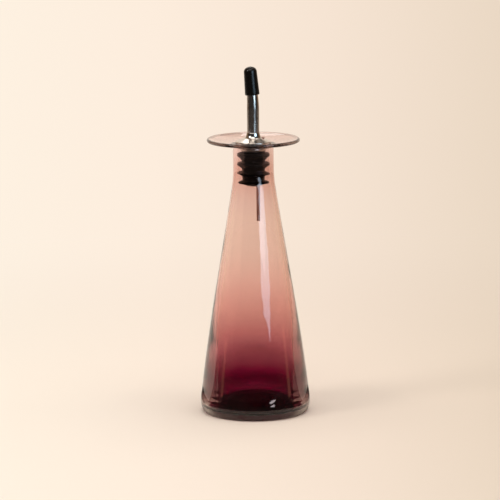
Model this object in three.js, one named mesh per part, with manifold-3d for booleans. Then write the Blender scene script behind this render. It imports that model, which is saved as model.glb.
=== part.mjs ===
// Oil dispenser bottle: a blown glass bottle with a bent metal pourer held in its neck by a finned rubber stopper.
// Millimetres, +Z up, origin at the centre of the foot, on the ground. The spout leans towards -X.
import * as THREE from 'three';
import { mergeVertices } from 'three/addons/utils/BufferGeometryUtils.js';
import Module from 'manifold-3d';

const wasm = await Module();
wasm.setup();

// Glass bottle
const baseDiameter = 76.4; // widest circle of the body
const widestHeight = 8.4; // level of that circle
const heelSetIn = 3.6; // the flat foot ends this far inside it
const kickDiameter = 44; // shallow hollow ground under the foot
const kickDepth = 1.2;
const neckDiameter = 28.2;
const boreDiameter = 23.4;
const shoulderHeight = 165; // where the flank runs into the neck
const shoulderBlend = 7; // length of that run on each side
const flankSwell = 2.4; // how far the lower flank stands out from a straight cone
const mouthHeight = 190; // level ring round the mouth, where the collar rests
const mouthRounding = 0.4;
const mouthLand = 2.5; // width of the level ring
const brimDiameter = 64.4;
const brimThickness = 2.5;
const brimRise = 2.4; // the rim stands this much higher than the mouth
const underBrimFillet = 2.4;
const bowlHeight = 58; // below this level the hollow runs straight down
const bowlWall = 5; // glass outside it at that level
const bowlRounding = 1.2; // corner at the floor of the hollow
const solidBase = 4.6; // glass under that floor

// Rubber stopper
const stopperTop = 6.6; // below the mouth
const stopperLength = 23.6;
const stopperRounding = 0.3; // lower edge
const stopperTopDiameter = 16.4;
const stopperFootDiameter = 15.2;
const finCount = 4;
const firstFin = 2.65; // middle of the top fin's root, below the stopper's top
const finPitch = 6.5;
const finRoot = 2.8; // thickness at the body
const finEdge = 0.8; // thickness at the rim
const finLift = 0.5; // the rim stands this much above the root
const lastFinSetIn = 0.7; // the lowest fin leads into the neck, and is this much smaller in radius
const finGap = 0.3; // between the fins and the bore of the neck

// Metal pourer
const sheet = 0.6; // wall of the stem and of the spout
const seatGap = 0.3; // between pieces that rest on each other
const turnGap = 0.3; // between the stem and the bore of the rubber
const stemDiameter = 10.4;
const stemBelow = 0.3; // the stem shows this much below the rubber
const cupDiameter = 17.8;
const cupRounding = 1.2;
const collarDiameter = 24.8;
const collarThickness = 0.9;
const domeHeight = 1.8; // crown of the dome above the collar's edge
const upstandDiameter = 13; // at the dome, where it flares out
const upstandTopDiameter = 9.4;
const upstandHeight = 4.2;
const spoutDiameter = 8.5;
const spoutGap = 0.15; // between the spout and the collar's upstand
const spoutDip = 0.2; // the spout reaches this far down below the mouth
const spoutStraight = 23.4; // straight run above the mouth
const bendRadius = 110;
const spoutLean = 4.4; // degrees, after the bend
const tipDiameter = 6.6;
const ventDiameter = 2.4;
const ventWall = 0.45;
const ventGap = 0.2; // between the vent tube and its hole
const ventTop = 6.6; // from the axis, at the collar
const ventFoot = 3.1; // from the axis, inside the stem
const ventProud = 0.3; // the tube stands this much above the dome
const ventEnd = 55.5; // lower end, below the mouth
const ventJogTop = 2.2; // the jog starts this far above the mouth, under the collar
const ventJogLength = 8;

// Dust cap
const capLength = 19.6;
const capFootDiameter = 10.1;
const capTopDiameter = 9;
const capCrown = 3.2; // height of its domed end
const capGap = 0.2; // between the cap and the spout
const capRoom = 1.2; // free length above the tip
const capRounding = 0.8; // rolled lower edge
const capTopWall = 1.1;

// Facets
const chordError = 0.08;
const bottleSides = 48;
const stopperSides = 36;
const collarSides = 36;
const stemSides = 32;
const spoutSides = 24;
const ventSides = 12;
const capSides = 28;

// The fewest steps that keep a curve's chords within the chord error.
function stepsFor(curve) {
  for (let n = 2; n < 24; n++) {
    const p = curve.getPoints(2 * n);
    const off = Array.from({ length: n }, (_, i) => {
      const chord = new THREE.Vector2().subVectors(p[2 * i + 2], p[2 * i]);
      const rise = new THREE.Vector2().subVectors(p[2 * i + 1], p[2 * i]);
      return Math.abs(chord.cross(rise)) / chord.length();
    });
    if (Math.max(...off) < chordError) return n;
  }
  return 24;
}

// Points of a profile drawn with lines and curves.
function profile(path) {
  const points = [];
  for (const curve of path.curves) {
    for (const p of curve.getPoints(curve.isLineCurve ? 1 : stepsFor(curve))) {
      if (!points.length || points.at(-1).distanceTo(p) > 1e-4) points.push(p);
    }
  }
  return points;
}

// Geometry without doubled vertices and without faces that have no area.
function cleaned(geometry) {
  const bare = new THREE.BufferGeometry().setAttribute('position', geometry.getAttribute('position'));
  bare.setIndex(geometry.index);
  const merged = mergeVertices(bare, 1e-4);
  const faces = [];
  const index = merged.index.array;
  for (let i = 0; i < index.length; i += 3) {
    const [a, b, c] = [index[i], index[i + 1], index[i + 2]];
    if (a !== b && b !== c && c !== a) faces.push(a, b, c);
  }
  merged.setIndex(faces);
  return merged;
}

// A profile in (radius, height) turned about the Z axis. It runs up the outside and down the inside.
function turned(points, sides) {
  const lathe = new THREE.LatheGeometry(points, sides);
  lathe.rotateX(Math.PI / 2);
  return cleaned(lathe);
}

// A hollow tube along a curve: one ring of vertices for each section, up the outside and back down the inside.
function tube(curve, sections, sides) {
  const positions = [];
  for (const { t, radius } of sections) {
    const centre = curve.getPoint(t);
    const along = curve.getTangent(t);
    const across = new THREE.Vector3(0, 1, 0).addScaledVector(along, -along.y).normalize();
    const side = new THREE.Vector3().crossVectors(across, along);
    for (let k = 0; k < sides; k++) {
      const turn = (k / sides) * 2 * Math.PI;
      const p = centre.clone().addScaledVector(side, radius * Math.cos(turn));
      p.addScaledVector(across, radius * Math.sin(turn));
      positions.push(p.x, p.y, p.z);
    }
  }
  const faces = [];
  const rings = sections.length;
  for (let i = 0; i < rings; i++) {
    const next = (i + 1) % rings;
    for (let k = 0; k < sides; k++) {
      const l = (k + 1) % sides;
      faces.push(i * sides + k, i * sides + l, next * sides + l);
      faces.push(i * sides + k, next * sides + l, next * sides + k);
    }
  }
  const geometry = new THREE.BufferGeometry();
  geometry.setAttribute('position', new THREE.Float32BufferAttribute(positions, 3));
  geometry.setIndex(faces);
  return geometry;
}

// Cuts one geometry away from another.
function cut(geometry, tool) {
  const [body, cutter] = [geometry, tool].map((g) => {
    const mesh = new wasm.Mesh({
      numProp: 3,
      vertProperties: new Float32Array(g.getAttribute('position').array),
      triVerts: new Uint32Array(g.index.array),
    });
    mesh.merge();
    return new wasm.Manifold(mesh);
  });
  const mesh = body.subtract(cutter).getMesh();
  const result = new THREE.BufferGeometry();
  result.setAttribute('position', new THREE.Float32BufferAttribute(mesh.vertProperties, 3));
  result.setIndex(new THREE.BufferAttribute(mesh.triVerts, 1));
  return cleaned(result);
}

const part = new THREE.Group();
part.name = 'oil_dispenser_bottle';

function add(name, geometry, colour, options) {
  geometry.computeVertexNormals();
  const mesh = new THREE.Mesh(geometry, new THREE.MeshStandardMaterial({ color: colour, ...options }));
  mesh.name = name;
  part.add(mesh);
}

// Glass bottle: one turned profile, up the outside from the kick and down the inside to the floor of the hollow.
const baseRadius = baseDiameter / 2;
const neckRadius = neckDiameter / 2;
const boreRadius = boreDiameter / 2;
const brimRadius = brimDiameter / 2;

// Radius of the flank at a height: a straight cone from base to neck, with a swell low down.
function flankRadius(z) {
  const u = (z - widestHeight) / (shoulderHeight - widestHeight);
  const cone = baseRadius + (neckRadius - baseRadius) * u;
  return cone + 3 * flankSwell * u * (1 - u) ** 2;
}

// Thickness of the wall at a height: as in the neck at the shoulder, growing towards the bowl.
function wallAt(z) {
  const v = (shoulderHeight - z) / (shoulderHeight - bowlHeight);
  const neckWall = neckRadius - boreRadius;
  return neckWall + (bowlWall - neckWall) * v * v;
}

function flankPoints(from, to, count, radiusAt) {
  return Array.from({ length: count + 1 }, (_, i) => {
    const z = from + ((to - from) * i) / count;
    return new THREE.Vector2(radiusAt(z), z);
  });
}

const blendFoot = shoulderHeight - shoulderBlend;
const blendTop = shoulderHeight + shoulderBlend;
const rimRadius = brimThickness / 2;
const rimLevel = mouthHeight + brimRise - rimRadius;
const underBrim = mouthHeight - brimThickness;
const landRadius = boreRadius + mouthRounding + mouthLand;
const bowlRadius = flankRadius(bowlHeight) - bowlWall;
const kickSphere = (kickDiameter ** 2 / 4 + kickDepth ** 2) / (2 * kickDepth);
const kickTurn = Math.asin(kickDiameter / 2 / kickSphere);

const bottle = new THREE.Path();
bottle.moveTo(0, kickDepth);
bottle.absarc(0, kickDepth - kickSphere, kickSphere, Math.PI / 2, Math.PI / 2 - kickTurn, true);
bottle.lineTo(baseRadius - heelSetIn, 0);
bottle.absellipse(baseRadius - heelSetIn, widestHeight, heelSetIn, widestHeight, -Math.PI / 2, 0, false);
bottle.splineThru(flankPoints(widestHeight, blendFoot, 12, flankRadius).slice(1));
bottle.quadraticCurveTo(flankRadius(shoulderHeight), shoulderHeight, neckRadius, blendTop);
bottle.lineTo(neckRadius, underBrim - underBrimFillet);
bottle.absarc(neckRadius + underBrimFillet, underBrim - underBrimFillet, underBrimFillet, Math.PI, Math.PI / 2, true);
bottle.quadraticCurveTo((neckRadius + brimRadius) / 2, underBrim, brimRadius - rimRadius, rimLevel - rimRadius);
bottle.absarc(brimRadius - rimRadius, rimLevel, rimRadius, -Math.PI / 2, Math.PI / 2, false);
bottle.quadraticCurveTo((landRadius + brimRadius) / 2, mouthHeight, landRadius, mouthHeight);
bottle.lineTo(boreRadius + mouthRounding, mouthHeight);
bottle.absarc(boreRadius + mouthRounding, mouthHeight - mouthRounding, mouthRounding, Math.PI / 2, Math.PI, false);
bottle.lineTo(boreRadius, blendTop);
const innerFoot = flankRadius(blendFoot) - wallAt(blendFoot);
bottle.quadraticCurveTo(boreRadius, shoulderHeight, innerFoot, blendFoot);
const bowlBlend = bowlHeight + shoulderBlend;
bottle.splineThru(flankPoints(blendFoot, bowlBlend, 9, (z) => flankRadius(z) - wallAt(z)).slice(1));
bottle.quadraticCurveTo(bowlRadius, bowlHeight, bowlRadius, bowlHeight - shoulderBlend);
const bowlCorner = solidBase + bowlRounding;
bottle.lineTo(bowlRadius, bowlCorner);
bottle.absarc(bowlRadius - bowlRounding, bowlCorner, bowlRounding, 0, -Math.PI / 2, true);
bottle.lineTo(0, solidBase);
add('glass_bottle', turned(profile(bottle), bottleSides), 0xb5666a, { roughness: 0.05 });

// Rubber stopper: a sleeve round the stem with a row of thin fins. The fins follow the bore of the neck.
const stopperTopLevel = mouthHeight - stopperTop;
const stopperFoot = stopperTopLevel - stopperLength;
const stemRadius = stemDiameter / 2;
const sleeveBore = stemRadius + turnGap;

function sleeveRadius(z) {
  const u = (z - stopperFoot) / stopperLength;
  return (stopperFootDiameter + (stopperTopDiameter - stopperFootDiameter) * u) / 2;
}

const sleeve = new THREE.Path();
sleeve.moveTo(sleeveBore, stopperFoot);
const footRadius = sleeveRadius(stopperFoot);
sleeve.lineTo(footRadius - stopperRounding, stopperFoot);
sleeve.quadraticCurveTo(footRadius, stopperFoot, footRadius, stopperFoot + stopperRounding);
for (let i = finCount - 1; i >= 0; i--) {
  const root = stopperTopLevel - firstFin - i * finPitch;
  const last = finCount > 1 && i === finCount - 1;
  const tip = boreRadius - finGap - (last ? lastFinSetIn : 0) - finEdge / 2;
  const rim = root + finLift;
  sleeve.lineTo(sleeveRadius(root - finRoot / 2), root - finRoot / 2);
  sleeve.lineTo(tip, rim - finEdge / 2);
  sleeve.absarc(tip, rim, finEdge / 2, -Math.PI / 2, Math.PI / 2, false);
  sleeve.lineTo(sleeveRadius(root + finRoot / 2), root + finRoot / 2);
}
sleeve.lineTo(sleeveRadius(stopperTopLevel), stopperTopLevel);
sleeve.lineTo(sleeveBore, stopperTopLevel);
sleeve.lineTo(sleeveBore, stopperFoot);
add('rubber_stopper', turned(profile(sleeve), stopperSides), 0x15110e, { roughness: 0.6 });

// Stem: a spun funnel, its cup under the collar and its tail through the rubber.
const cupRadius = cupDiameter / 2;
const cupFoot = stopperTopLevel + seatGap;
const collarLevel = mouthHeight + seatGap;
const collarRadius = collarDiameter / 2;
const spoutRadius = spoutDiameter / 2;
const crownRadius = upstandDiameter / 2;

// Height of the dome's upper face at a radius: a quarter ellipse from the collar's edge to the upstand.
function domeTop(r) {
  const u = Math.min(1, Math.max(0, (r - crownRadius) / (collarRadius - crownRadius)));
  return collarLevel + collarThickness + domeHeight * Math.sqrt(1 - u * u);
}

const cupTop = domeTop(cupRadius) - collarThickness - seatGap;
const stemFoot = stopperFoot - stemBelow;
const stem = new THREE.Path();
stem.moveTo(stemRadius, stemFoot);
stem.lineTo(stemRadius, cupFoot);
stem.lineTo(cupRadius - cupRounding, cupFoot);
stem.absarc(cupRadius - cupRounding, cupFoot + cupRounding, cupRounding, -Math.PI / 2, 0, false);
stem.lineTo(cupRadius, cupTop);
stem.lineTo(cupRadius - sheet, cupTop);
stem.lineTo(cupRadius - sheet, cupFoot + cupRounding);
stem.absarc(cupRadius - cupRounding, cupFoot + cupRounding, cupRounding - sheet, 0, -Math.PI / 2, true);
stem.lineTo(stemRadius, cupFoot + sheet);
stem.quadraticCurveTo(stemRadius - sheet, cupFoot + sheet, stemRadius - sheet, cupFoot);
stem.lineTo(stemRadius - sheet, stemFoot);
stem.lineTo(stemRadius, stemFoot);
add('stem_tube', turned(profile(stem), stemSides), 0xb9b4ad, { metalness: 1, roughness: 0.25 });

// Collar: a domed flange that rests on the mouth, with an upstand round the spout and a hole for the vent.
const upstandBore = spoutRadius + spoutGap;
const crownLevel = domeTop(crownRadius);
const edge = collarThickness / 2;
const collarPath = new THREE.Path();
const lowerCrown = collarLevel + domeHeight;
collarPath.moveTo(upstandBore, lowerCrown);
collarPath.lineTo(crownRadius, lowerCrown);
collarPath.absellipse(
  crownRadius, collarLevel, collarRadius - edge - crownRadius, lowerCrown - collarLevel, Math.PI / 2, 0, true,
);
collarPath.absarc(collarRadius - edge, collarLevel + edge, edge, -Math.PI / 2, Math.PI / 2, false);
collarPath.absellipse(
  crownRadius, collarLevel + collarThickness, collarRadius - edge - crownRadius, domeHeight, 0, Math.PI / 2, false,
);
const upstandTop = crownLevel + upstandHeight;
collarPath.quadraticCurveTo(upstandTopDiameter / 2, crownLevel, upstandTopDiameter / 2, upstandTop);
collarPath.lineTo(upstandBore, upstandTop);
collarPath.lineTo(upstandBore, lowerCrown);
const ventRadius = ventDiameter / 2;
const drill = new THREE.CylinderGeometry(ventRadius + ventGap, ventRadius + ventGap, 4 * domeHeight, 16);
drill.rotateX(Math.PI / 2);
drill.translate(ventTop, 0, collarLevel + domeHeight / 2);
const collar = cut(turned(profile(collarPath), collarSides), cleaned(drill));
add('collar', collar, 0xc9c4bd, { metalness: 1, roughness: 0.15 });

// Spout: straight through the collar, bent a little towards -X, then tapering to the tip under the dust cap.
const lean = THREE.MathUtils.degToRad(spoutLean);
const bendStart = new THREE.Vector3(0, 0, mouthHeight + spoutStraight);
const tipAxis = new THREE.Vector3(-Math.sin(lean), 0, Math.cos(lean));
const bendEnd = new THREE.Vector3(-bendRadius * (1 - Math.cos(lean)), 0, bendStart.z + bendRadius * Math.sin(lean));
const capCover = capLength - capTopWall - capRoom; // length of spout inside the cap
const capFoot = bendEnd.clone().addScaledVector(tipAxis, capRounding);
const tip = capFoot.clone().addScaledVector(tipAxis, capCover);

const bendHandle = bendStart.clone();
bendHandle.z += bendRadius * Math.tan(lean / 2);
const spoutCurve = new THREE.CurvePath();
spoutCurve.add(new THREE.LineCurve3(new THREE.Vector3(0, 0, mouthHeight - spoutDip), bendStart));
spoutCurve.add(new THREE.QuadraticBezierCurve3(bendStart, bendHandle, bendEnd));
spoutCurve.add(new THREE.LineCurve3(bendEnd, tip));
const spoutLength = spoutCurve.getLength();
const bendFrom = spoutCurve.getCurveLengths()[0] / spoutLength;
const bendTo = spoutCurve.getCurveLengths()[1] / spoutLength;

// Radius of the spout at a place along it: even up to the bend, then a straight taper.
function spoutAt(t) {
  const u = Math.max(0, (t - bendFrom) / (1 - bendFrom));
  return spoutRadius + (tipDiameter / 2 - spoutRadius) * u;
}

const stations = [0, bendFrom, 1].concat([0.2, 0.4, 0.6, 0.8, 1].map((s) => bendFrom + (bendTo - bendFrom) * s));
stations.sort((a, b) => a - b);
const spoutSections = stations.map((t) => ({ t, radius: spoutAt(t) }));
for (const t of stations.toReversed()) spoutSections.push({ t, radius: spoutAt(t) - sheet });
const spout = tube(spoutCurve, spoutSections, spoutSides);
add('spout_tube', spout, 0xc2bdb6, { metalness: 1, roughness: 0.18 });

// Vent tube: in the collar's hole, past the end of the spout into the stem, and down into the bottle.
const jogTop = mouthHeight + ventJogTop;
const jogFoot = jogTop - ventJogLength;
const ventCurve = new THREE.CurvePath();
const ventHead = new THREE.Vector3(ventTop, 0, domeTop(ventTop) + ventProud);
const ventTail = new THREE.Vector3(ventFoot, 0, mouthHeight - ventEnd);
const jogStart = new THREE.Vector3(ventTop, 0, jogTop);
const jogEnd = new THREE.Vector3(ventFoot, 0, jogFoot);
const jogMiddle = (jogTop + jogFoot) / 2;
ventCurve.add(new THREE.LineCurve3(ventTail, jogEnd));
ventCurve.add(
  new THREE.CubicBezierCurve3(
    jogEnd, new THREE.Vector3(ventFoot, 0, jogMiddle), new THREE.Vector3(ventTop, 0, jogMiddle), jogStart,
  ),
);
ventCurve.add(new THREE.LineCurve3(jogStart, ventHead));
const ventLengths = ventCurve.getCurveLengths().map((s) => s / ventCurve.getLength());
const ventStations = [0, 1];
for (let i = 0; i <= 8; i++) ventStations.push(ventLengths[0] + ((ventLengths[1] - ventLengths[0]) * i) / 8);
ventStations.sort((a, b) => a - b);
const ventSections = ventStations.map((t) => ({ t, radius: ventRadius }));
for (const t of ventStations.toReversed()) ventSections.push({ t, radius: ventRadius - ventWall });
add('vent_tube', tube(ventCurve, ventSections, ventSides), 0xaaa49c, { metalness: 1, roughness: 0.3 });

// Dust cap: a soft cap drawn over the tip. It is turned about the Z axis, then laid along the tip.
const footBore = spoutAt(bendTo) + capGap;
const tipBore = tipDiameter / 2 + capGap;
const crownFoot = capLength - capCrown;
const boreTop = capLength - capTopWall;
const cap = new THREE.Path();
cap.moveTo(footBore, capRounding);
cap.quadraticCurveTo(footBore, 0, (footBore + capFootDiameter / 2) / 2, 0);
cap.quadraticCurveTo(capFootDiameter / 2, 0, capFootDiameter / 2, capRounding);
cap.lineTo(capTopDiameter / 2, crownFoot);
cap.absellipse(0, crownFoot, capTopDiameter / 2, capCrown, 0, Math.PI / 2, false);
const capInside = new THREE.Path();
capInside.moveTo(0, boreTop);
capInside.lineTo(tipBore - capRoom, boreTop);
capInside.absarc(tipBore - capRoom, boreTop - capRoom, capRoom, Math.PI / 2, 0, true);
capInside.lineTo(footBore, capRounding);
const dustCap = turned([...profile(cap), ...profile(capInside)], capSides);
dustCap.rotateY(-lean);
dustCap.translate(capFoot.x, capFoot.y, capFoot.z);
add('dust_cap', dustCap, 0x12100e, { roughness: 0.4 });

export default part;
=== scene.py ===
import math

import bmesh
import bpy
from mathutils import Matrix, Vector


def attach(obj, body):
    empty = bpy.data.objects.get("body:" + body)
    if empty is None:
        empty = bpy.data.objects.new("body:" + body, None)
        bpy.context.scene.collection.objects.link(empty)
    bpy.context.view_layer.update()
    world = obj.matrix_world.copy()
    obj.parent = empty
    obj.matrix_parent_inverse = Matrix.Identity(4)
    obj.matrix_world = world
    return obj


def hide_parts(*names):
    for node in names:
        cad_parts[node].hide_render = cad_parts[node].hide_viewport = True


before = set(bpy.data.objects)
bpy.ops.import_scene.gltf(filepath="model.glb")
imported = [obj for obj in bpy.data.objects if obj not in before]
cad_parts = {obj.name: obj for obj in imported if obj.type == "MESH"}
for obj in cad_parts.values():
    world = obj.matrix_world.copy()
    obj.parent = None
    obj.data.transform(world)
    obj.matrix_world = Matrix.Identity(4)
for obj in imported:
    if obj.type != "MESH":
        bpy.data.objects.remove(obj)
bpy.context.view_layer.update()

# Bottle: free-blown soda-lime glass in one piece, with a thick-walled foot, a tapering body, a short neck and
# a wide brim. The foot is ground flat with a shallow kick, and the brim and the mouth are fire-polished.
# Sizes are in millimetres and turned to metres where a mesh is made.
MM = 0.001
base_r = 38.2
widest_z = 8.4
heel_in = 3.6
kick_r = 22.0
kick_z = 1.2
swell = 2.4
neck_r = 14.1
bore_r = 11.7
neck_wall = neck_r - bore_r
shoulder_z = 165.0
shoulder_run = 7.0
mouth_z = 190.0
mouth_round = 0.4
land_r = 14.6
land_z = 189.3
brim_r = 32.2
brim_thick = 2.5
brim_rise = 2.4
fillet_r = 1.2
bowl_z = 58.0
bowl_wall = 5.0
bowl_flare = 1.4
bowl_flare_run = 25.0
bowl_round = 1.2
floor_z = 4.6
matt_top = 9.0
tint_top = 195.0
glass_sides = 160


def linear(code):
    """An sRGB hex colour as linear red, green, blue and alpha."""
    parts = [int(code[i:i + 2], 16) / 255 for i in (1, 3, 5)]
    return tuple(c / 12.92 if c <= 0.04045 else ((c + 0.055) / 1.055) ** 2.4 for c in parts) + (1.0,)


def node(tree, kind, inputs=None, **settings):
    """Adds a node with its settings, and with each input linked to a socket or set to a value."""
    made = tree.nodes.new(kind)
    for name, value in settings.items():
        setattr(made, name, value)
    for key, value in (inputs or {}).items():
        if isinstance(value, bpy.types.NodeSocket):
            tree.links.new(value, made.inputs[key])
        else:
            made.inputs[key].default_value = value
    return made


def new_material(name):
    """A new material with an empty node tree, and its output node."""
    material = bpy.data.materials.new(name)
    material.use_nodes = True
    material.node_tree.nodes.clear()
    return material, material.node_tree, material.node_tree.nodes.new("ShaderNodeOutputMaterial")


# Cased soda-lime glass: clear outside, with plum glass fused to the inside of the wall. The plum was thickest
# at the bottom of the gather and was drawn thin in the blowing, so the eye sees deep plum at the bowl and
# pale pink at the neck. Its skin has soft waves about 20 mm long, its inner wall upright cords 4 mm apart.
cased_glass, tree, out = new_material("cased_soda_lime_glass")
place = node(tree, "ShaderNodeTexCoord").outputs["Object"]
wave = node(tree, "ShaderNodeTexNoise", {"Vector": place, "Scale": 1 / (20 * MM), "Detail": 1.0})
waved = node(tree, "ShaderNodeBump", {"Height": wave.outputs["Fac"], "Strength": 0.5, "Distance": 0.35 * MM})
upright = node(tree, "ShaderNodeMapping", {"Vector": place, "Scale": (1.0, 1.0, 0.04)}).outputs["Vector"]
cord = node(tree, "ShaderNodeTexNoise", {"Vector": upright, "Scale": 1 / (4 * MM), "Detail": 1.0})
cloud = node(tree, "ShaderNodeTexNoise", {"Vector": place, "Scale": 1 / (14 * MM), "Detail": 2.0})
height = node(tree, "ShaderNodeSeparateXYZ", {"Vector": place}).outputs["Z"]
drift = node(
    tree, "ShaderNodeMath", {0: cloud.outputs["Fac"], 1: 5 * MM, 2: -2.5 * MM}, operation="MULTIPLY_ADD",
)
level = node(tree, "ShaderNodeMath", {0: height, 1: drift.outputs["Value"]}, operation="ADD")
share = node(tree, "ShaderNodeMapRange", {"Value": level.outputs["Value"], "From Max": tint_top * MM})

# The tint of the outer and of the inner wall: height, then optical depths in red, green and blue.
casing_depths = (
    (4, 0.05, 0.12, 0.2), (6, 0.3, 0.5, 0.6), (9, 1.35, 2.0, 2.0), (13, 1.9, 2.85, 2.8),
    (21, 1.76, 2.8, 2.57), (33, 1.58, 2.8, 2.65), (40, 1.08, 2.14, 2.08), (48, 0.75, 1.74, 1.7),
    (62, 0.48, 1.21, 1.27), (77, 0.25, 0.93, 1.03), (94.5, 0.12, 0.6, 0.71), (112, 0.1, 0.45, 0.57),
    (134, 0.1, 0.42, 0.54), (148, 0.15, 0.5, 0.59), (172, 0.3, 0.9, 1.05), (184, 0.15, 0.5, 0.55),
    (190, 0.1, 0.3, 0.35),
)
layer_depths = (
    (4.6, 2.4, 5.4, 3.6), (12, 1.7, 6.8, 2.9), (16, 1.4, 6.6, 2.65), (22, 0.42, 4.7, 1.7),
    (33, 0.16, 0.8, 0.46), (40, 0.0, 0.34, 0.12), (48, 0.0, 0.25, 0.18), (62, 0.0, 0.12, 0.11),
    (77, 0.0, 0.0, 0.0), (148, 0.0, 0.0, 0.0),
)
wall_tints = []
for depths in (casing_depths, layer_depths):
    ramp = node(tree, "ShaderNodeValToRGB", {"Fac": share.outputs["Result"]})
    stops = ramp.color_ramp.elements
    for z, *depth in depths:
        stops.new(z / tint_top).color = [math.exp(-d) for d in depth] + [1.0]
    stops.remove(stops[0])
    stops.remove(stops[-1])
    wall_tints.append(ramp.outputs["Color"])
casing, layer = wall_tints
inner = node(tree, "ShaderNodeAttribute", attribute_name="inside").outputs["Fac"]
tint = node(tree, "ShaderNodeMix", {"Factor": inner, 6: casing, 7: layer}, data_type="RGBA").outputs[2]
# The brim's edge is mixed towards dark brown: thick glass, plus painted shade that is stronger in front.
rim_tint_and_shade = node(tree, "ShaderNodeAttribute", attribute_name="rim").outputs["Fac"]
edged = node(tree, "ShaderNodeMix", {"Factor": rim_tint_and_shade, 6: tint, 7: linear("#4A2E28")}, data_type="RGBA")
low_down = node(
    tree, "ShaderNodeMapRange", {"Value": height, "From Min": 90 * MM, "From Max": 30 * MM, "To Min": 0.1},
)
inner_low = node(tree, "ShaderNodeMath", {0: low_down.outputs["Result"], 1: inner}, operation="MULTIPLY")
cords = node(
    tree, "ShaderNodeMath", {0: cord.outputs["Fac"], 1: inner_low.outputs["Value"]}, operation="MULTIPLY",
)
corded = node(tree, "ShaderNodeBump", {
    "Height": cords.outputs["Value"], "Normal": waved.outputs["Normal"],
    "Strength": 1.0, "Distance": 0.3 * MM,
})
ground = node(tree, "ShaderNodeAttribute", attribute_name="ground").outputs["Fac"]
ground_matt = node(tree, "ShaderNodeMath", {0: ground, 1: 0.6}, operation="MULTIPLY")
glass = node(tree, "ShaderNodeBsdfPrincipled", {
    "Base Color": edged.outputs[2], "Roughness": ground_matt.outputs["Value"],
    "Normal": corded.outputs["Normal"], "IOR": 1.5, "Transmission Weight": 1.0,
})
body_tint = node(tree, "ShaderNodeVolumeAbsorption", {"Color": linear("#BC9C73"), "Density": 6.0})
tree.links.new(glass.outputs["BSDF"], out.inputs["Surface"])
tree.links.new(body_tint.outputs["Volume"], out.inputs["Volume"])


def flank(z):
    """Outer radius of the body at a height: a cone that swells low down."""
    u = (z - widest_z) / (shoulder_z - widest_z)
    return base_r + (neck_r - base_r) * u + 3 * swell * u * (1 - u) ** 2


def hollow(z):
    """Radius of the hollow at a height above the bowl: the wall grows from the neck down to the bowl."""
    v = (shoulder_z - z) / (shoulder_z - bowl_z)
    return flank(z) - neck_wall - (bowl_wall - neck_wall) * v * v


bowl_r = flank(bowl_z) - bowl_wall


def bowl(z):
    """Radius of the hollow below the top of the bowl: it opens a little towards the floor."""
    u = min(1.0, max(0.0, (bowl_z - shoulder_run - z) / bowl_flare_run))
    return bowl_r + bowl_flare * u * u * (3 - 2 * u)


def arc(r, z, across, up, start, stop, steps):
    """Points of an arc in (radius, height), by its half axes across and up and its two angles in degrees."""
    turns = [math.radians(start + (stop - start) * i / steps) for i in range(steps + 1)]
    return [(r + across * math.cos(t), z + up * math.sin(t)) for t in turns]


def bow(a, b, c, steps):
    """Points of a curve that leaves a towards b and comes into c from b."""
    points = []
    for i in range(steps + 1):
        t = i / steps
        points.append(tuple((1 - t) ** 2 * p + 2 * t * (1 - t) * q + t * t * s for p, q, s in zip(a, b, c)))
    return points


def run(low, high, steps, radius):
    """Points of a wall whose radius follows a function of height."""
    zs = [low + (high - low) * i / steps for i in range(steps + 1)]
    return [(radius(z), z) for z in zs]


def placed(name, bm, material):
    """An object in the scene from a finished bmesh and its material."""
    mesh = bpy.data.meshes.new(name)
    bm.to_mesh(mesh)
    bm.free()
    mesh.materials.append(material)
    piece = bpy.data.objects.new(name, mesh)
    bpy.context.scene.collection.objects.link(piece)
    return piece


def turned(name, outline, sides, material):
    """A mesh turned about the Z axis from points in (radius, height); a point that repeats is taken once."""
    hair = 1e-4
    points = [outline[0]]
    for p in outline[1:]:
        if math.dist(p, points[-1]) > hair:
            points.append(p)
    bm = bmesh.new()
    rings = []
    turns = [2 * math.pi * k / sides for k in range(sides)]
    for r, z in points:
        if r < hair:
            rings.append([bm.verts.new((0, 0, z * MM))])
            continue
        rings.append([bm.verts.new((r * MM * math.cos(t), r * MM * math.sin(t), z * MM)) for t in turns])
    if math.dist(points[0], points[-1]) < hair:
        for v in rings[-1]:
            bm.verts.remove(v)
        rings[-1] = rings[0]
    for low, high in zip(rings, rings[1:]):
        if len(low) == len(high) == 1:
            continue
        for k in range(sides):
            n = (k + 1) % sides
            corners = [low[k % len(low)], low[n % len(low)], high[n % len(high)], high[k % len(high)]]
            bm.faces.new(list(dict.fromkeys(corners))).smooth = True
    return placed(name, bm, material)


kick_ball = (kick_r ** 2 + kick_z ** 2) / (2 * kick_z)
kick_turn = math.degrees(math.asin(kick_r / kick_ball))
blend_low = shoulder_z - shoulder_run
blend_high = shoulder_z + shoulder_run
edge_r = brim_thick / 2
edge_in = brim_r - edge_r
edge_z = mouth_z + brim_rise - edge_r
under_z = mouth_z - brim_thick
fillet_end = (neck_r + fillet_r, under_z)
outside = arc(0, kick_z - kick_ball, kick_ball, kick_ball, 90, 90 - kick_turn, 6)
outside += arc(base_r - heel_in, widest_z, heel_in, widest_z, -90, 0, 18)
outside += run(widest_z, blend_low, 80, flank)
outside += bow((flank(blend_low), blend_low), (neck_r, shoulder_z), (neck_r, blend_high), 10)
outside += arc(neck_r + fillet_r, under_z - fillet_r, fillet_r, fillet_r, 180, 90, 10)
outside += bow(fillet_end, ((neck_r + brim_r) / 2, under_z), (edge_in, edge_z - edge_r), 12)
outside += arc(edge_in, edge_z, edge_r, edge_r, -90, 90, 14)
outside += bow((edge_in, edge_z + edge_r), ((land_r + brim_r) / 2, land_z), (land_r, land_z), 12)
outside += arc(bore_r + mouth_round, land_z - mouth_round, mouth_round, mouth_round, 90, 180, 8)
inside = bow((bore_r, blend_high), (bore_r, shoulder_z), (hollow(blend_low), blend_low), 10)
inside += run(blend_low, bowl_z + shoulder_run, 70, hollow)
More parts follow.
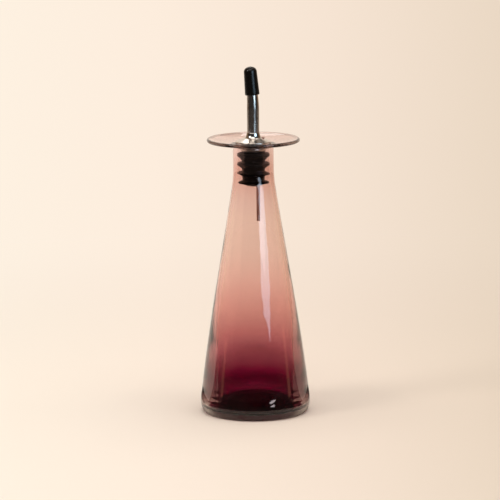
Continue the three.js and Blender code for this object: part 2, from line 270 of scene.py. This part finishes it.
inside += bow(inside[-1], (bowl_r, bowl_z), (bowl_r, bowl_z - shoulder_run), 10)
inside += run(bowl_z - shoulder_run, floor_z + bowl_round, 24, bowl)
inside += arc(bowl(floor_z) - bowl_round, floor_z + bowl_round, bowl_round, bowl_round, 0, -90, 16)
inside += [(16.0, floor_z), (8.0, floor_z), (0.0, floor_z)]
bottle = turned("bottle_glass", outside + inside, glass_sides, cased_glass)

# Marks on the glass: its inner wall, the matt ground foot, which polishes out up the heel, and the edge of
# the brim, darker where the glass is thick, and with painted shade that darkens it most in front.
for name in ("inside", "ground", "rim"):
    bottle.data.attributes.new(name, "FLOAT", "POINT")
inner_marks, ground_marks, rim_tint_and_shade_marks = (
    bottle.data.attributes[name].data for name in ("inside", "ground", "rim")
)
for v in bottle.data.vertices:
    x, y, z = (c / MM for c in v.co)
    r = math.hypot(x, y)
    in_hollow = floor_z - 0.1 < z < land_z - mouth_round + 0.01
    inner_marks[v.index].value = float(in_hollow and r < max(flank(z), neck_r) - 1.5)
    if z < kick_z + 0.01 and r < base_r - heel_in + 0.01:
        ground_marks[v.index].value = 1.0
    elif r > bowl_r + 2:
        ground_marks[v.index].value = max(0.0, 1.0 - z / matt_top)
    # Painted shade: the edge's dark share grows towards the front (negative y) and shrinks towards the back.
    if z > under_z:
        at_edge = max(0.0, min(1.0, (r - brim_r + 2.2) / 1.2))
        rim_tint_and_shade_marks[v.index].value = at_edge * (0.65 - 0.35 * y / brim_r)

# Plum glass pad: the last of the plum, pooled in the floor of the bottle under the hollow. It has no skin of
# its own inside the clear glass, so it only tints, and clouds of about 6 mm keep it from looking flat.
pad_low = 1.6
pad_top = 4.3
pad_glass, tree, out = new_material("plum_glass_pad")
place = node(tree, "ShaderNodeTexCoord").outputs["Object"]
pool = node(tree, "ShaderNodeTexNoise", {"Vector": place, "Scale": 1 / (6 * MM), "Detail": 2.0})
plum = node(tree, "ShaderNodeValToRGB", {"Fac": pool.outputs["Fac"]})
plum.color_ramp.elements[0].color = linear("#3A0C1A")
plum.color_ramp.elements[1].color = linear("#5A1A2A")
stain = node(tree, "ShaderNodeBsdfPrincipled", {
    "Base Color": plum.outputs["Color"], "IOR": 1.0, "Roughness": 0.0, "Transmission Weight": 1.0,
})
tree.links.new(stain.outputs["BSDF"], out.inputs["Surface"])
pad_outline = [(0.0, pad_low), (18.0, pad_low), (20.0, 2.0), (20.5, pad_top), (0.0, pad_top)]
pad = turned("plum_pad", pad_outline, glass_sides, pad_glass)

# Painted shade at the heel: dark plum sheets just under its skin, splinters at both sides and a thin hem
# round the front between them, stand in for the dark that the heel's refraction shows from the front.
# Splinters are given by two angles and a height.
splinter_rows = ((43, 53, 18.5), (43, 58, 14.0), (41, 66, 10.4), (40, 64, 7.6))
splinter_half = 1.5
splinter_deep = 1.3
hem_reach = 60.0
hem_low = 6.4
hem_tall = 4.2
hem_deep = 1.0


def around(r, degrees, z):
    """A point at a radius, at an angle from the front towards the right, and at a height."""
    return r * math.sin(math.radians(degrees)), -r * math.cos(math.radians(degrees)), z


def sheet(bm, rows):
    """Adds a sheet of faces between rows of points."""
    corners = [[bm.verts.new(p) for p in row] for row in rows]
    for low, high in zip(corners, corners[1:]):
        for k in range(len(low) - 1):
            bm.faces.new((low[k], low[k + 1], high[k + 1], high[k]))


def under_skin(degrees, z, heel_cut, deep):
    """A point in metres just under the skin of the glass, by its angle and height."""
    r = (flank(z) if z > widest_z else base_r - heel_cut) - deep
    return around(r * MM, degrees, z * MM)


bm = bmesh.new()
for way in (-1, 1):
    for turn_from, turn_to, z in splinter_rows:
        below = []
        above = []
        for i in range(9):
            t = i / 8
            half_tall = splinter_half * (1 - t) * (1 + 0.25 * math.sin(9 * t + z))
            degrees = way * (turn_from + (turn_to - turn_from) * t)
            below.append(under_skin(degrees, z - half_tall, 0.6, splinter_deep))
            above.append(under_skin(degrees, z + half_tall, 0.6, splinter_deep))
        sheet(bm, (below, above))
below = []
above = []
for i in range(49):
    degrees = hem_reach * (i / 24 - 1)
    away = abs(degrees) / 53.2
    z = hem_low + 1.2 * away ** 2
    below.append(under_skin(degrees, z, 0.3, hem_deep))
    above.append(under_skin(degrees, z + hem_tall * min(1.0, 6.0 * (1.13 - away)), 0.3, hem_deep))
sheet(bm, (below, above))
# The splinters and the hem are painted shade, made in the plum pad's material.
shade_splinters = placed("painted_shade_splinters", bm, pad_glass)
for piece in (pad, shade_splinters):
    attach(piece, "bottle")
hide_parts("glass_bottle")
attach(bottle, "bottle")

# Stopper: a moulded rubber sleeve with four fins, pressed on the stem and into the neck, where the fins bend
# to the glass and hold by friction. The upper two are pushed into thick cones, and the lower two stay thin.
gap = 0.3
stem_r = 5.2
sleeve_top = mouth_z - 6.6
sleeve_low = sleeve_top - 23.6
sleeve_end = sleeve_low + 0.7
sleeve_round = 0.3
first_fin = 2.65
fin_pitch = 6.5
fin_edge = 0.4
askew_lift = 0.5


def sleeve(z):
    """Outer radius of the rubber sleeve, a little smaller at the foot."""
    return 7.6 + 0.6 * (z - sleeve_low) / (sleeve_top - sleeve_low)


# Moulded black rubber: near black and matt, with a moulded grain of about 0.5 mm, and a bloom in patches of
# 6 mm that makes it duller here and there.
rubber, tree, out = new_material("moulded_black_rubber")
place = node(tree, "ShaderNodeTexCoord").outputs["Object"]
grain = node(tree, "ShaderNodeTexNoise", {"Vector": place, "Scale": 1 / (0.5 * MM), "Detail": 3.0})
bloom = node(tree, "ShaderNodeTexNoise", {"Vector": place, "Scale": 1 / (6 * MM), "Detail": 4.0})
soot = node(tree, "ShaderNodeValToRGB", {"Fac": bloom.outputs["Fac"]})
soot.color_ramp.elements[0].color = linear("#050302")
soot.color_ramp.elements[1].color = linear("#0D0806")
bloom_matt = node(tree, "ShaderNodeMapRange", {"Value": bloom.outputs["Fac"], "To Min": 0.42, "To Max": 0.62})
moulded = node(tree, "ShaderNodeBump", {
    "Height": grain.outputs["Fac"], "Strength": 0.25, "Distance": 0.05 * MM,
})
soft = node(tree, "ShaderNodeBsdfPrincipled", {
    "Base Color": soot.outputs["Color"], "Roughness": bloom_matt.outputs["Result"],
    "Normal": moulded.outputs["Normal"], "IOR": 1.52, "Specular IOR Level": 0.3,
})
tree.links.new(soft.outputs["BSDF"], out.inputs["Surface"])

# From the lowest fin up: how far its cone starts below its root, half its thickness, and how short it is.
fins = ((0.4, 0.4, 0.7), (1.35, 0.4, 0.0), (2.8, 0.8, 0.0), (3.4, 0.9, 0.0))
outline = [(stem_r + gap, sleeve_end)]
outline += arc(
    sleeve(sleeve_end) - sleeve_round, sleeve_end + sleeve_round, sleeve_round, sleeve_round, -90, 0, 6,
)
for i, (drop, half_thick, short) in zip((3, 2, 1, 0), fins):
    root = sleeve_top - first_fin - fin_pitch * i
    fin_z = root + 0.5
    tip = bore_r - gap - short - fin_edge
    belly = sleeve(root) + 1.2
    outline += bow((sleeve(root), root - drop), (belly, root - 0.55 * drop), (tip, fin_z - half_thick), 8)
    outline += arc(tip, fin_z, fin_edge, half_thick, -90, 90, 8)
    outline += bow((tip, fin_z + half_thick), (belly, root + 0.7 + half_thick), (sleeve(root), root + 2.0), 8)
outline += [(sleeve(sleeve_top), sleeve_top - sleeve_round), (sleeve(sleeve_top) - sleeve_round, sleeve_top)]
outline += [(stem_r + gap, sleeve_top), (stem_r + gap, sleeve_end)]
stopper = turned("stopper_rubber", outline, 96, rubber)

# The third fin from the top went in askew, a little higher on the left.
askew_z = sleeve_top - first_fin - fin_pitch * 2
askew_r = sleeve(askew_z)
for v in stopper.data.vertices:
    r = math.hypot(v.co.x, v.co.y) / MM
    if abs(v.co.z / MM - askew_z) < 1.6 and r > askew_r + 0.3:
        v.co.z -= askew_lift * v.co.x / bore_r * (r - askew_r) / (bore_r - askew_r)
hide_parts("rubber_stopper")
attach(stopper, "stopper")

# Stem: a funnel spun from thin stainless steel, its cup soldered under the collar and its tail run through
# the rubber. The collar's first sizes stand here, because the cup ends under its dome.
steel_wall = 0.6
tail_r = stem_r - steel_wall
stem_low = sleeve_low - gap
cup_r = 8.9
cup_round = 1.2
cup_low = sleeve_top + gap
collar_low = land_z + gap
collar_r = 12.4
collar_thick = 0.9
dome = 1.8
crown_r = 6.5


def dome_top(r):
    """Height of the collar's domed upper face at a radius."""
    u = min(1.0, max(0.0, (r - crown_r) / (collar_r - crown_r)))
    return collar_low + collar_thick + dome * math.sqrt(1 - u * u)


# Spun stainless steel: satin, with fine rings left by the spinning tool. The real rings are about 0.1 mm
# apart and are drawn at 0.4 mm so that they show.
spun_steel, tree, out = new_material("spun_stainless_steel")
place = node(tree, "ShaderNodeTexCoord").outputs["Object"]
tool_rings = node(
    tree, "ShaderNodeTexWave", {"Vector": place, "Scale": 1 / (0.4 * MM) / 20, "Distortion": 1.5},
    wave_type="BANDS", bands_direction="Z",
)
ring_matt = node(
    tree, "ShaderNodeMapRange", {"Value": tool_rings.outputs["Fac"], "To Min": 0.24, "To Max": 0.34},
)
satin = node(tree, "ShaderNodeBsdfPrincipled", {
    "Base Color": linear("#CFC6BC"), "Roughness": ring_matt.outputs["Result"], "Metallic": 1.0,
})
tree.links.new(satin.outputs["BSDF"], out.inputs["Surface"])

cup_top = dome_top(cup_r) - collar_thick - gap
round_in = cup_round - steel_wall
cup_floor = cup_low + steel_wall
outline = [(stem_r, stem_low), (stem_r, cup_low)]
outline += arc(cup_r - cup_round, cup_low + cup_round, cup_round, cup_round, -90, 0, 8)
outline += [(cup_r, cup_top), (cup_r - steel_wall, cup_top)]
outline += arc(cup_r - cup_round, cup_low + cup_round, round_in, round_in, 0, -90, 6)
outline += bow((stem_r, cup_floor), (tail_r, cup_floor), (tail_r, cup_low), 5)
outline += [(tail_r, stem_low), (stem_r, stem_low)]
stem = turned("stem_funnel", outline, 96, spun_steel)
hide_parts("stem_tube")
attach(stem, "pourer")

# Collar: a flange pressed from stainless steel and polished. It rests on the mouth, sweeps up into a short
# upstand that grips the spout, and the vent tube comes up through it beside the upstand.
spout_r = 4.25
grip_r = spout_r + 0.15
crown_z = collar_low + collar_thick + dome
upstand_top = crown_z + 4.2
flange_round = collar_thick / 2
flange_in = collar_r - flange_round
sweep_foot = (6.6, collar_low + 2.9)

# Polished stainless steel: a soft mirror, dulled here and there by smears about 5 mm wide.
polished_steel, tree, out = new_material("polished_stainless_steel")
place = node(tree, "ShaderNodeTexCoord").outputs["Object"]
smear = node(tree, "ShaderNodeTexNoise", {"Vector": place, "Scale": 1 / (5 * MM), "Detail": 5.0})
smear_matt = node(tree, "ShaderNodeMapRange", {"Value": smear.outputs["Fac"], "To Min": 0.13, "To Max": 0.25})
mirror = node(tree, "ShaderNodeBsdfPrincipled", {
    "Base Color": linear("#D6CFC8"), "Roughness": smear_matt.outputs["Result"], "Metallic": 1.0,
})
tree.links.new(mirror.outputs["BSDF"], out.inputs["Surface"])

outline = [(grip_r, crown_z - collar_thick)]
outline += arc(crown_r, collar_low, flange_in - crown_r, dome, 90, 0, 16)
outline += arc(flange_in, collar_low + flange_round, flange_round, flange_round, -90, 90, 10)
outline += bow((flange_in, collar_low + collar_thick), (9.0, collar_low + 1.9), sweep_foot, 12)
outline += bow(sweep_foot, (4.9, collar_low + 3.6), (4.5, upstand_top), 14)
outline += [(grip_r, upstand_top), (grip_r, crown_z - collar_thick)]
collar = turned("collar_dome", outline, 128, polished_steel)
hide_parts("collar")
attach(collar, "pourer")

# Spout: drawn stainless tube of the same polish, straight through the collar, bent a little to one side and
# tapered to the tip. How far the tip reaches follows from the length of the cap that covers it.
lean = math.radians(4.4)
bend_z = mouth_z + 23.4
bend_r = 110.0
bend_long = bend_r * lean
tip_r = 3.3
cap_long = 19.6
cap_roof = 1.1
cap_room = 1.2
cap_roll = 0.8
spout_end = bend_long + cap_roll + cap_long - cap_roof - cap_room


def swept(name, sections, sides, material):
    """A mesh of rings, each by its centre (x, z), its lean from upright and its radius, closed end to end."""
    bm = bmesh.new()
    rings = []
    for x, z, tilt, r in sections:
        ring = []
        for k in range(sides):
            t = 2 * math.pi * k / sides
            off = r * math.cos(t)
            corner = (x + off * math.cos(tilt), r * math.sin(t), z + off * math.sin(tilt))
            ring.append(bm.verts.new([c * MM for c in corner]))
        rings.append(ring)
    for low, high in zip(rings, rings[1:] + rings[:1]):
        for k in range(sides):
            n = (k + 1) % sides
            bm.faces.new((low[k], low[n], high[n], high[k])).smooth = True
    return placed(name, bm, material)


def spout_line(s):
    """Centre (x, z) and lean of the spout at a length along it above the bend's start."""
    if s <= 0:
        return 0.0, bend_z + s, 0.0
    turn = min(lean, s / bend_r)
    rest = max(0.0, s - bend_long)
    x = -bend_r * (1 - math.cos(turn)) - rest * math.sin(turn)
    return x, bend_z + bend_r * math.sin(turn) + rest * math.cos(turn), turn


def spout_wall(s):
    """Outer radius of the spout at a length along it, before its tip is rounded."""
    return spout_r + (tip_r - spout_r) * max(0.0, s) / spout_end


lengths = [-23.6, -23.4] + [-20 + 2 * i for i in range(10)]
lengths += [spout_end * i / 24 for i in range(24)] + [spout_end - 0.3, spout_end - 0.1, spout_end]
tip_round = [0.0] * (len(lengths) - 2) + [0.15, 0.3]
sections = [(*spout_line(s), spout_wall(s) - taken) for s, taken in zip(lengths, tip_round)]
sections += [(*spout_line(s), spout_wall(s) - steel_wall) for s in lengths[::-1]]
spout = swept("spout_steel", sections, 64, polished_steel)
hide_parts("spout_tube")
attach(spout, "pourer")

# Vent: thin stainless tube, soldered into the collar. It passes the end of the spout, jogs into the stem
# and hangs free in the bottle, so that air comes in while the oil pours.
vent_r = 1.2
vent_wall = 0.45
vent_top = collar_low + 3.5
vent_end = mouth_z - 55.5
vent_out = 6.6
vent_in = 3.1
jog = 8.0
jog_low = mouth_z + 2.2 - jog

# Drawn stainless steel with a light brown base colour: more skin than shine, with die lines along the tube
# about 0.5 mm apart.
drawn_steel, tree, out = new_material("drawn_stainless_steel")
place = node(tree, "ShaderNodeTexCoord").outputs["Object"]
along = node(tree, "ShaderNodeMapping", {"Vector": place, "Scale": (1.0, 1.0, 0.05)}).outputs["Vector"]
die = node(tree, "ShaderNodeTexNoise", {"Vector": along, "Scale": 1 / (0.5 * MM), "Detail": 2.0})
brown_tone = node(tree, "ShaderNodeValToRGB", {"Fac": die.outputs["Fac"]})
brown_tone.color_ramp.elements[0].color = linear("#A2735F")
brown_tone.color_ramp.elements[1].color = linear("#BC9283")
dulled = node(tree, "ShaderNodeBsdfPrincipled", {
    "Base Color": brown_tone.outputs["Color"], "Metallic": 0.2, "Roughness": 0.5,
})
tree.links.new(dulled.outputs["BSDF"], out.inputs["Surface"])

sections = [(vent_in, vent_end, 0.0, vent_r)]
for i in range(21):
    t = i / 20
    x = vent_in + (vent_out - vent_in) * (3 * t * t - 2 * t ** 3)
    z = jog_low + jog * (1.5 * t * (1 - t) ** 2 + 1.5 * t * t * (1 - t) + t ** 3)
    sideways = 6 * t * (1 - t) * (vent_out - vent_in)
    climb = jog * (1.5 * (1 - t) ** 2 + 1.5 * t * t)
    sections.append((x, z, -math.atan2(sideways, climb), vent_r))
sections.append((vent_out, vent_top, 0.0, vent_r))
sections += [(x, z, tilt, r - vent_wall) for x, z, tilt, r in sections[::-1]]
vent = swept("vent_steel", sections, 40, drawn_steel)
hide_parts("vent_tube")
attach(vent, "pourer")

# Dust cap: soft black vinyl, dipped on a former and pulled over the tip, where it holds by its own stretch.
# It has a rolled foot, and a crown that runs to a slight point where the last drop of the dip hung.
cap_r = 5.05
cap_top_r = 4.5
cap_crown = 3.2
crown_foot = cap_long - cap_crown
point_r = 1.0
point_low = cap_long - 0.15
foot_bore = spout_wall(bend_long) + 0.2
roll_r = (foot_bore + cap_r) / 2
bore_top = cap_long - cap_roof
bore_round = 1.2

# Dipped black vinyl: black with a soft shine, a faint orange peel of about 1.2 mm and dusty patches of 4 mm.
vinyl, tree, out = new_material("dipped_black_vinyl")
place = node(tree, "ShaderNodeTexCoord").outputs["Object"]
peel = node(tree, "ShaderNodeTexNoise", {"Vector": place, "Scale": 1 / (1.2 * MM), "Detail": 2.0})
dust = node(tree, "ShaderNodeTexNoise", {"Vector": place, "Scale": 1 / (4 * MM), "Detail": 5.0})
jet = node(tree, "ShaderNodeValToRGB", {"Fac": dust.outputs["Fac"]})
jet.color_ramp.elements[0].color = linear("#090706")
jet.color_ramp.elements[1].color = linear("#14100D")
dipped = node(tree, "ShaderNodeBump", {
    "Height": peel.outputs["Fac"], "Strength": 0.15, "Distance": 0.05 * MM,
})
shine = node(tree, "ShaderNodeBsdfPrincipled", {
    "Base Color": jet.outputs["Color"], "Normal": dipped.outputs["Normal"], "Roughness": 0.24,
    "IOR": 1.53, "Specular IOR Level": 0.3,
})
tree.links.new(shine.outputs["BSDF"], out.inputs["Surface"])

outline = bow((foot_bore, cap_roll), (foot_bore, 0.0), (roll_r, 0.0), 5)
outline += bow((roll_r, 0.0), (cap_r, 0.0), (cap_r, cap_roll), 6)
for i in range(1, 12):
    outline.append((cap_r + (cap_top_r - cap_r) * i / 12, cap_roll + (crown_foot - cap_roll) * i / 12))
outline += bow((cap_top_r, crown_foot), (cap_top_r * 0.9, cap_long - 0.7), (point_r, point_low), 16)
outline += bow((point_r, point_low), (point_r / 2, cap_long), (0.0, cap_long), 4)
outline.append((0.0, bore_top))
outline += arc(tip_r - 1.0, bore_top - bore_round, bore_round, bore_round, 90, 0, 8)
outline.append((foot_bore, cap_roll))
cap = turned("dust_cap_vinyl", outline, 96, vinyl)
x, z, tilt = spout_line(bend_long + cap_roll)
cap.data.transform(Matrix.Translation((x * MM, 0, z * MM)) @ Matrix.Rotation(-tilt, 4, "Y"))
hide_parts("dust_cap")
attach(cap, "cap")

# Table and backdrop: one wide sheet of matt cream paper with a fibre of about 2 mm. Near the bottle it is lit
# by the lamps and takes the shadow; further off it fades into a glowing cream backdrop. Its cream is painted
# light as well, brighter on the left and darker on the right. From here on, sizes are in metres.
paper, tree, out = new_material("matt_cream_paper_painted_light")
place = node(tree, "ShaderNodeTexCoord").outputs["Object"]
fibre = node(tree, "ShaderNodeTexNoise", {"Vector": place, "Scale": 1 / (2 * MM), "Detail": 4.0})
# Painted light: the cream runs from light on the left to darker on the right, widening with distance back.
spot = node(tree, "ShaderNodeSeparateXYZ", {"Vector": place})
distance = node(tree, "ShaderNodeMath", {0: spot.outputs["Y"], 1: 2.2}, operation="ADD")
spread = node(tree, "ShaderNodeMath", {0: distance.outputs["Value"], 1: 1.0}, operation="MAXIMUM")
across = node(tree, "ShaderNodeMath", {0: spot.outputs["X"], 1: spread.outputs["Value"]}, operation="DIVIDE")
side = node(
    tree, "ShaderNodeMapRange", {"Value": across.outputs["Value"], "From Min": -0.08, "From Max": 0.08},
)
cream_and_painted_light = node(tree, "ShaderNodeValToRGB", {"Fac": side.outputs["Result"]})
cream_and_painted_light.color_ramp.elements[0].color = linear("#FEF1E1")
cream_and_painted_light.color_ramp.elements[1].color = linear("#EAD8C4")
cream_and_painted_light.color_ramp.elements.new(0.3).color = linear("#FDEDDD")
cream_and_painted_light.color_ramp.elements.new(0.65).color = linear("#F6E4D3")
fleck = node(tree, "ShaderNodeMapRange", {"Value": fibre.outputs["Fac"], "To Min": 0.97})
flecked = node(
    tree, "ShaderNodeVectorMath", {0: cream_and_painted_light.outputs["Color"], 1: fleck.outputs["Result"]},
    operation="MULTIPLY",
)
table_top = node(
    tree, "ShaderNodeBsdfPrincipled", {"Base Color": flecked.outputs["Vector"], "Roughness": 0.9},
)
backdrop = node(tree, "ShaderNodeEmission", {"Color": cream_and_painted_light.outputs["Color"], "Strength": 1.0})
reach = node(tree, "ShaderNodeVectorMath", {0: place}, operation="LENGTH")
fade = node(
    tree, "ShaderNodeMapRange", {"Value": reach.outputs["Value"], "From Min": 0.12, "From Max": 0.7},
    interpolation_type="SMOOTHSTEP",
)
faded = node(
    tree, "ShaderNodeMixShader",
    {0: fade.outputs["Result"], 1: table_top.outputs[0], 2: backdrop.outputs[0]},
)
tree.links.new(faded.outputs[0], out.inputs["Surface"])
bm = bmesh.new()
bmesh.ops.create_circle(bm, cap_ends=True, segments=96, radius=9.0)
table = placed("paper_table", bm, paper)

# Light: a pale room that also shows in the metal and through the glass, a small softbox on the left, and a
# wide one overhead, which only lights and isn't mirrored.
world = bpy.data.worlds.new("pale_studio")
bpy.context.scene.world = world
world.use_nodes = True
tree = world.node_tree
tree.nodes.clear()
ray = node(tree, "ShaderNodeLightPath").outputs
direct = node(
    tree, "ShaderNodeMath", {0: ray["Is Camera Ray"], 1: ray["Is Glossy Ray"]}, operation="MAXIMUM",
)
seen = node(
    tree, "ShaderNodeMath", {0: direct.outputs[0], 1: ray["Is Transmission Ray"]}, operation="MAXIMUM",
)
dim = node(tree, "ShaderNodeBackground", {"Color": linear("#FFFDFB"), "Strength": 0.42})
pale = node(tree, "ShaderNodeBackground", {"Color": linear("#FBEADA"), "Strength": 1.0})
room_light = node(tree, "ShaderNodeMixShader", {0: seen.outputs[0], 1: dim.outputs[0], 2: pale.outputs[0]})
node(tree, "ShaderNodeOutputWorld", {"Surface": room_light.outputs[0]})


def softbox(name, at, towards, size, watts):
    """A square area lamp at a place, facing a point."""
    lamp = bpy.data.lights.new(name, "AREA")
    lamp.shape = "RECTANGLE"
    lamp.size = size
    lamp.size_y = size
    lamp.energy = watts
    lamp.color = linear("#FFFCF8")[:3]
    box = bpy.data.objects.new(name, lamp)
    bpy.context.scene.collection.objects.link(box)
    box.location = at
    box.rotation_euler = (Vector(towards) - Vector(at)).to_track_quat("-Z", "Y").to_euler()
    return box


softbox("softbox_left", (-1.1, -0.6, 1.2), (0, 0, 0.1), 0.5, 5.0)
overhead = softbox("softbox_overhead", (0.2, -0.2, 2.2), (0.1, 0, 0), 2.4, 35.0)
overhead.visible_glossy = False
overhead.visible_transmission = False

# Dark cards: felt on the table and drapes round it, which only mirrors see, so that the front of the metal
# and the glass stays dark. They are clear to a ray that hasn't been mirrored, so none shows through glass.
# The felt's nap is drawn as patches of 250 mm, as far as a mirror image can show it.
cloths = []
for name, colour, worn in (
    ("dark_felt_card", "#443D39", "#544C47"),
    ("black_drape", "#26211F", None),
    ("tan_drape", "#8E7258", None),
):
    cloth, tree, out = new_material(name)
    dyed = node(tree, "ShaderNodeEmission", {"Color": linear(colour), "Strength": 1.0})
    if worn:
        place = node(tree, "ShaderNodeTexCoord").outputs["Object"]
        nap = node(tree, "ShaderNodeTexNoise", {"Vector": place, "Scale": 1 / (250 * MM)})
        dye = node(tree, "ShaderNodeValToRGB", {"Fac": nap.outputs["Fac"]})
        dye.color_ramp.elements[0].color = linear(colour)
        dye.color_ramp.elements[1].color = linear(worn)
        tree.links.new(dye.outputs["Color"], dyed.inputs["Color"])
    clear = node(tree, "ShaderNodeBsdfTransparent")
    mirrored = node(tree, "ShaderNodeLightPath").outputs["Glossy Depth"]
    shown = node(tree, "ShaderNodeMixShader", {0: mirrored, 1: clear.outputs[0], 2: dyed.outputs[0]})
    tree.links.new(shown.outputs[0], out.inputs["Surface"])
    cloths.append(cloth)
felt, drape, tan = cloths

# Painted ceiling: pale with dark patches about 625 mm wide, which break up what the collar and brim mirror.
ceiling, tree, out = new_material("patched_ceiling")
place = node(tree, "ShaderNodeTexCoord").outputs["Object"]
patch = node(tree, "ShaderNodeTexNoise", {"Vector": place, "Scale": 1 / (625 * MM)})
paint = node(tree, "ShaderNodeValToRGB", {"Fac": patch.outputs["Fac"]})
paint.color_ramp.elements[0].position = 0.4
paint.color_ramp.elements[0].color = linear("#3A3430")
paint.color_ramp.elements[1].position = 0.6
paint.color_ramp.elements[1].color = linear("#D8CCC0")
painted = node(tree, "ShaderNodeEmission", {"Color": paint.outputs["Color"], "Strength": 1.0})
tree.links.new(painted.outputs[0], out.inputs["Surface"])

# Even sheets of light: amber strips for the two brown lines low in the glass, a cool window for the long
# streak, white panels for the metal, a dim patch of window light on the table, and panes for a small glint.
lights = []
for name, colour, strength in (
    ("amber_strip", "#FFBC90", 1.0), ("window_daylight", "#C6E6FF", 5.2), ("white_panel", "#FFFAF4", 2.4),
    ("window_patch", "#E8E2FF", 0.18), ("glint_pane", "#FFF2F6", 8.0),
):
    light, tree, out = new_material(name)
    glow = node(tree, "ShaderNodeEmission", {"Color": linear(colour), "Strength": strength})
    tree.links.new(glow.outputs[0], out.inputs["Surface"])
    lights.append(light)
amber, daylight, white, window_patch, glint = lights

# Each card: its outline in (radius, height), its material, its first and last angle from the front, and
# whether it also shows by way of the glass.
room = ((1.7, 0.002), (1.9, 0.2), (1.9, 2.2), (1.2, 2.9), (0.05, 3.1))
back_room = ((1.9, 1.3),) + room[2:]
apron = ((0.11, 0.001), (0.5, 0.001), (1.25, 0.002), (1.7, 0.002))
far_apron = apron[2:]
lip = ((0.062, 0.001), (0.11, 0.001))
low_strip = ((0.35, 0.001), (0.35, 0.064))
tall_strip = ((0.35, 0.001), (0.35, 0.074))
for name, shape, cloth, start, stop, through in (
    ("room_front", room, drape, -100, 100, True),
    ("room_left", room, tan, -142, -100, False),
    ("room_right", room, tan, 100, 142, False),
    ("apron_front", apron, felt, -60, 60, True),
    ("apron_left", apron, felt, -100, -60, False),
    ("apron_right", apron, felt, 60, 100, False),
    ("lip_front", lip, felt, -142, 142, False),
    ("ceiling_back", back_room, ceiling, 142, 218, False),
    ("ring_left", far_apron, felt, -142, -100, False),
    ("ring_right", far_apron, felt, 100, 142, False),
    ("strip_left", low_strip, amber, -76, -70, False),
    ("strip_right", tall_strip, amber, 71, 78, False),
):
    bm = bmesh.new()
    sheet(bm, [[around(r, start + (stop - start) * i / 24, z) for r, z in shape] for i in range(25)])
    card = placed(name, bm, cloth)
    card.visible_camera = False
    card.visible_diffuse = False
    card.visible_transmission = through
    card.visible_shadow = False

# Window: a tall cool opening on the right, its lower end cut to a point by the sill. Rows are its left and
# right angle and its height. A small wedge near the neck carries its streak up over the rubber.
window_r = 1.25
window_rows = (
    (37, 37, 0.14), (31, 41, 0.189), (22, 47.6, 0.228), (18.5, 49.6, 0.2645), (26, 54, 0.332), (26, 55, 1.0),
)
wedge_r = 0.2
wedge_rows = ((26, 30, 0.155), (20, 40, 0.1645))
bm = bmesh.new()
for r, rows in ((window_r, window_rows), (wedge_r, wedge_rows)):
    sheet(bm, [[around(r, left + (right - left) * i / 8, z) for i in range(9)] for left, right, z in rows])
window = placed("window", bm, daylight)

# White panels under the ceiling, by place, height and half width: one behind on the left for the bright patch
# on the collar, one on the right and one in front for the lights on the upstand and on the cap's crown.
bm = bmesh.new()
for x, y, z, half_wide in ((-0.25, 1.3, 1.3, 0.35), (0.6, 0.4, 1.7, 0.25), (-0.15, -0.75, 1.7, 0.6)):
    corners = ((-1, -1), (1, -1), (1, 1), (-1, 1))
    bm.faces.new([bm.verts.new((x + half_wide * i, y + half_wide * k, z)) for i, k in corners])
panels = placed("ceiling_panels", bm, white)

# The window's light lies on the table further off, and shows in the metal.
spill_z = 0.006
bm = bmesh.new()
sheet(bm, [[around(r, 26 + 24 * i / 8, spill_z) for i in range(9)] for r in (1.2, 1.8)])
spill = placed("window_spill", bm, window_patch)

# Two low oval panes near the bottle, by lower end, upper end and half their angle, give the small white glint
# above the heel.
glint_r = 0.336
glint_turn = 34.5
bm = bmesh.new()
for low_z, high_z, half_turn in ((0.0021, 0.0061, 5.0), (0.0086, 0.0126, 6.5)):
    oval = []
    for i in range(24):
        t = 2 * math.pi * i / 24
        z = (low_z + high_z) / 2 + (high_z - low_z) / 2 * math.sin(t)
        oval.append(bm.verts.new(around(glint_r, glint_turn + half_turn * math.cos(t), z)))
    bm.faces.new(oval)
glints = placed("glint_panes", bm, glint)
for sheet_of_light in (window, panels, spill, glints):
    sheet_of_light.visible_camera = False
    sheet_of_light.visible_diffuse = False
    sheet_of_light.visible_shadow = False
    sheet_of_light.visible_transmission = sheet_of_light in (window, spill)

# Camera: a long lens in front of the bottle and a little above it, held very slightly out of level.
camera_side = -0.0029
camera_back = 2.15
camera_z = 0.51
aim_z = 0.1139
scene = bpy.context.scene
lens = bpy.data.cameras.new("camera")
lens.sensor_width = 36.0
lens.lens = 226.5
lens.clip_end = 50.0
camera = bpy.data.objects.new("camera", lens)
scene.collection.objects.link(camera)
scene.camera = camera
camera.location = (camera_side, -camera_back, camera_z)
camera_tilt = math.radians(90) - math.atan2(camera_z - aim_z, camera_back)
camera_roll = math.radians(-0.5)
camera_turn = Matrix.Rotation(camera_tilt, 3, "X") @ Matrix.Rotation(camera_roll, 3, "Z")
camera.rotation_euler = camera_turn.to_euler()
scene.view_settings.view_transform = "Standard"
scene.cycles.max_bounces = 32
scene.cycles.transmission_bounces = 32
scene.cycles.glossy_bounces = 12
scene.cycles.transparent_max_bounces = 16
